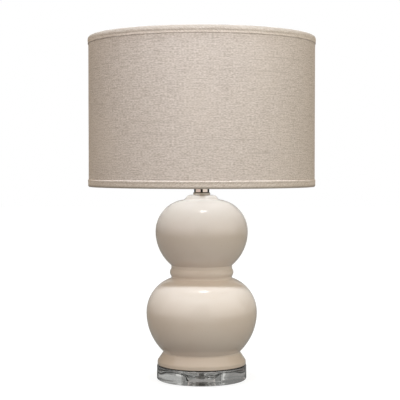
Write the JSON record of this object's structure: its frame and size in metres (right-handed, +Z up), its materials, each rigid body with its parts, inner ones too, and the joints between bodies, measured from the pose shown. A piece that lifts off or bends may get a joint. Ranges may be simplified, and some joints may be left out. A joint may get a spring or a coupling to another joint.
{
  "type": "table lamp",
  "caption": "Table lamp with a glazed double-gourd body on a clear acrylic disc and a linen drum shade clamped to a harp by a finial.",
  "frame": {"origin": "On the table, under the lamp's vertical axis, level with the bottoms of the bumpers.", "axes": "+Z is up along the lamp's axis, -Y is the front with the switch knob, +Y is the back with the cord outlet, and the harp lies in the XZ plane."},
  "size_m": [0.4057, 0.4058, 0.6159],
  "materials": {
    "clear_acrylic": "clear, polished",
    "clear_bumper": "soft, translucent",
    "cream_glaze": "smooth high-gloss glaze",
    "white_plastic": "moulded",
    "zinc": "zinc plated",
    "polished_nickel": "polished",
    "satin_nickel": "satin",
    "brass": "plain",
    "black_phenolic": "moulded",
    "fibre": "plain fibre",
    "frosted_glass": "frosted white",
    "bulb_black_glass": "vitreous",
    "linen": "slubbed plain weave",
    "styrene": "white, satin"
  },
  "bodies": {
    "lamp": {"base_disc": "clear_acrylic", "base_bumpers": "clear_bumper", "ceramic_body": "cream_glaze", "cord_bushing": "white_plastic", "threaded_rod": "zinc", "base_washer": "zinc", "base_lock_washer": "zinc", "base_nut": "zinc", "seat_ring": "polished_nickel", "neck": "polished_nickel", "harp_saddle": "satin_nickel", "harp_wire": "satin_nickel", "socket_cap": "satin_nickel", "cap_set_screw": "zinc", "socket_shell": "satin_nickel", "socket_paper_sleeve": "fibre", "socket_interior": "black_phenolic", "terminal_screws": "brass", "screw_shell": "brass", "centre_contact": "brass"},
    "shade": {"harp_stud": "satin_nickel", "shade_spider": "satin_nickel", "shade_bottom_ring": "satin_nickel", "shade_liner": "styrene", "shade_fabric": "linen", "shade_top_trim": "linen", "shade_bottom_trim": "linen"},
    "sleeve_left": {"harp_sleeve_left": "satin_nickel"},
    "sleeve_right": {"harp_sleeve_right": "satin_nickel"},
    "switch": {"switch_shaft": "zinc", "switch_knob": "black_phenolic"},
    "finial_thread": {"finial_insert": "brass"},
    "finial": {"finial_knob": "polished_nickel"},
    "bulb_centre": {"bulb_insulator": "bulb_black_glass", "bulb_tip": "zinc"},
    "bulb": {"bulb_globe": "frosted_glass", "bulb_screw_base": "satin_nickel"}
  },
  "joints": [
    {"name": "shade_swivel", "type": "hinge", "parent": "lamp", "child": "shade", "pos_m": [0, 0, 0.5879], "axis": [0, 0, 1], "continuous": true},
    {"name": "sleeve_left_lift", "type": "slide", "parent": "lamp", "child": "sleeve_left", "axis": [0, 0, 1], "range_m": [0, 0.016]},
    {"name": "sleeve_right_lift", "type": "slide", "parent": "lamp", "child": "sleeve_right", "axis": [0, 0, 1], "range_m": [0, 0.016]},
    {"name": "switch_turn", "type": "hinge", "parent": "lamp", "child": "switch", "pos_m": [0, -0.0265, 0.37689], "axis": [0, -1, 0], "continuous": true},
    {"name": "finial_lift", "type": "slide", "parent": "shade", "child": "finial_thread", "axis": [0, 0, 1], "range_m": [0, 0.00754]},
    {"name": "finial_turn", "type": "hinge", "parent": "finial_thread", "child": "finial", "pos_m": [0, 0, 0.6], "axis": [0, 0, 1], "range_deg": [0, 2880]},
    {"name": "bulb_lift", "type": "slide", "parent": "lamp", "child": "bulb_centre", "axis": [0, 0, 1], "range_m": [0, 0.01815]},
    {"name": "bulb_turn", "type": "hinge", "parent": "bulb_centre", "child": "bulb", "pos_m": [0, 0, 0.44], "axis": [0, 0, 1], "range_deg": [0, 1800]}
  ],
  "couplings": [
    {"joint": "finial_lift", "follows": "finial_turn", "m_per_rad": 0.00014972},
    {"joint": "bulb_lift", "follows": "bulb_turn", "m_per_rad": 0.00057751}
  ]
}
